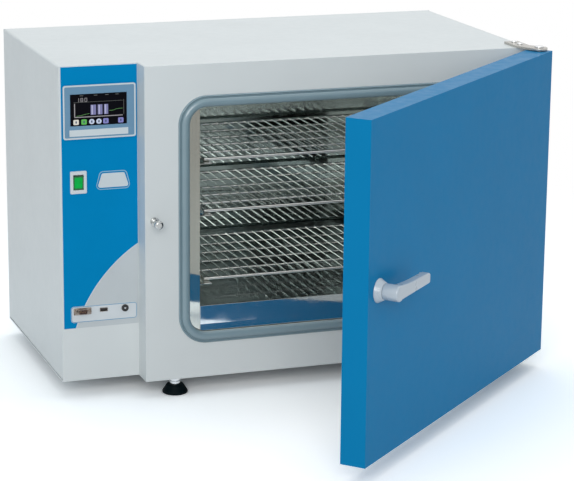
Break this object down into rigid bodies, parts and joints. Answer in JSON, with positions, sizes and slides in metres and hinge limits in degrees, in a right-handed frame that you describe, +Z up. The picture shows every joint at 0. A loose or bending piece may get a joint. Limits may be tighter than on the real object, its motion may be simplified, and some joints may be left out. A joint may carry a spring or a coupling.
{
  "type": "dry heat sterilizer",
  "caption": "Bench dry heat sterilizer with a recessed control column, a gasketed steel chamber with wire shelves, and a side-hinged insulated door with a lever handle.",
  "frame": {"origin": "centre of the front left foot's underside, on the surface that the sterilizer stands on", "axes": "+X to the right along the front, +Y from the front to the back, +Z up"},
  "size_m": [0.8689, 1.004, 0.588],
  "materials": {
    "white_paint": "satin",
    "blue_paint": "satin",
    "blue_film": "satin",
    "grey_film": "satin",
    "bezel_grey": "satin",
    "screen_black": "gloss",
    "label_white": "satin",
    "light_plastic": "satin",
    "green_plastic": "gloss",
    "black_plastic": "matte",
    "plated_steel": "polished",
    "grey_metal": "satin",
    "silicone": "satin",
    "mirror_steel": "polished",
    "shelf_wire": "polished",
    "heater_sheath": "matte",
    "mineral_wool": "matte",
    "circuit_board": "satin",
    "black_rubber": "matte",
    "brass": "satin",
    "handle_grey": "satin",
    "core_iron": "satin"
  },
  "bodies": {
    "cabinet": {"casing_wrap": "white_paint", "base_pan": "white_paint", "rear_panel": "white_paint", "column_front": "white_paint", "chamber_front": "white_paint", "column_bulkhead": "mirror_steel", "label_blue": "blue_film", "label_grey": "grey_film", "display_frame": "bezel_grey", "display_screen": "screen_black", "name_strip": "label_white", "badge_plate": "label_white", "switch_bezel": "light_plastic", "port_plate": "light_plastic", "serial_socket": "plated_steel", "usb_socket": "plated_steel", "probe_jack": "black_plastic", "latch_keeper": "plated_steel", "door_gasket": "silicone", "chamber_liner": "mirror_steel", "side_guide_left": "mirror_steel", "side_guide_right": "mirror_steel", "floor_cover": "mirror_steel", "shelf_rails_left": "mirror_steel", "shelf_rails_right": "mirror_steel", "heating_elements": "heater_sheath", "temperature_probe": "grey_metal", "vent_tube": "grey_metal", "vent_plate": "grey_metal", "insulation_top": "mineral_wool", "insulation_bottom": "mineral_wool", "insulation_left": "mineral_wool", "insulation_right": "mineral_wool", "insulation_rear": "mineral_wool", "control_board": "circuit_board", "power_relay": "core_iron", "transformer": "core_iron", "terminal_block": "black_plastic", "mains_inlet": "black_plastic", "upper_hinge_plate": "grey_metal", "lower_hinge_plate": "grey_metal", "hinge_pins": "plated_steel", "casing_screws": "plated_steel"},
    "door": {"door_shell": "blue_paint", "door_insulation": "mineral_wool", "door_inner_panel": "mirror_steel", "latch_pocket": "grey_metal", "hinge_bushes": "brass", "handle_escutcheon": "handle_grey"},
    "handle": {"handle_lever": "handle_grey", "latch_claw": "grey_metal"},
    "upper_shelf": {"shelf_top": "shelf_wire"},
    "middle_shelf": {"shelf_middle": "shelf_wire"},
    "lower_shelf": {"shelf_bottom": "shelf_wire"},
    "rocker": {"power_rocker": "green_plastic"},
    "damper": {"vent_damper": "grey_metal"},
    "foot_fl": {"foot_front_left": "black_rubber"},
    "foot_fr": {"foot_front_right": "black_rubber"},
    "foot_rl": {"foot_rear_left": "black_rubber"},
    "foot_rr": {"foot_rear_right": "black_rubber"}
  },
  "joints": [
    {"name": "door_hinge", "type": "hinge", "parent": "cabinet", "child": "door", "pos_m": [0.652, -0.0525, 0.309], "axis": [0, 0, 1], "range_deg": [-42.3, 75]},
    {"name": "handle_turn", "type": "hinge", "parent": "door", "child": "handle", "pos_m": [0.16648, -0.52336, 0.309], "axis": [-0.673, 0.7396, 0], "range_deg": [0, 60]},
    {"name": "upper_shelf_slide", "type": "slide", "parent": "cabinet", "child": "upper_shelf", "axis": [0, -1, 0], "range_m": [0, 0.14]},
    {"name": "middle_shelf_slide", "type": "slide", "parent": "cabinet", "child": "middle_shelf", "axis": [0, -1, 0], "range_m": [0, 0.14]},
    {"name": "lower_shelf_slide", "type": "slide", "parent": "cabinet", "child": "lower_shelf", "axis": [0, -1, 0], "range_m": [0, 0.14]},
    {"name": "power_switch", "type": "hinge", "parent": "cabinet", "child": "rocker", "pos_m": [-0.1633, 0.024, 0.3815], "axis": [1, 0, 0], "range_deg": [-12, 0]},
    {"name": "vent_turn", "type": "hinge", "parent": "cabinet", "child": "damper", "pos_m": [0.295, 0.435, 0.478], "axis": [0, 1, 0], "range_deg": [0, 180]},
    {"name": "front_left_foot_turn", "type": "hinge", "parent": "cabinet", "child": "foot_fl", "pos_m": [0, 0, 0], "axis": [0, 0, 1], "range_deg": [-180, 180]},
    {"name": "front_right_foot_turn", "type": "hinge", "parent": "cabinet", "child": "foot_fr", "pos_m": [0.59, 0, 0], "axis": [0, 0, 1], "range_deg": [-180, 180]},
    {"name": "rear_left_foot_turn", "type": "hinge", "parent": "cabinet", "child": "foot_rl", "pos_m": [0, 0.372, 0], "axis": [0, 0, 1], "range_deg": [-180, 180]},
    {"name": "rear_right_foot_turn", "type": "hinge", "parent": "cabinet", "child": "foot_rr", "pos_m": [0.59, 0.372, 0], "axis": [0, 0, 1], "range_deg": [-180, 180]}
  ]
}
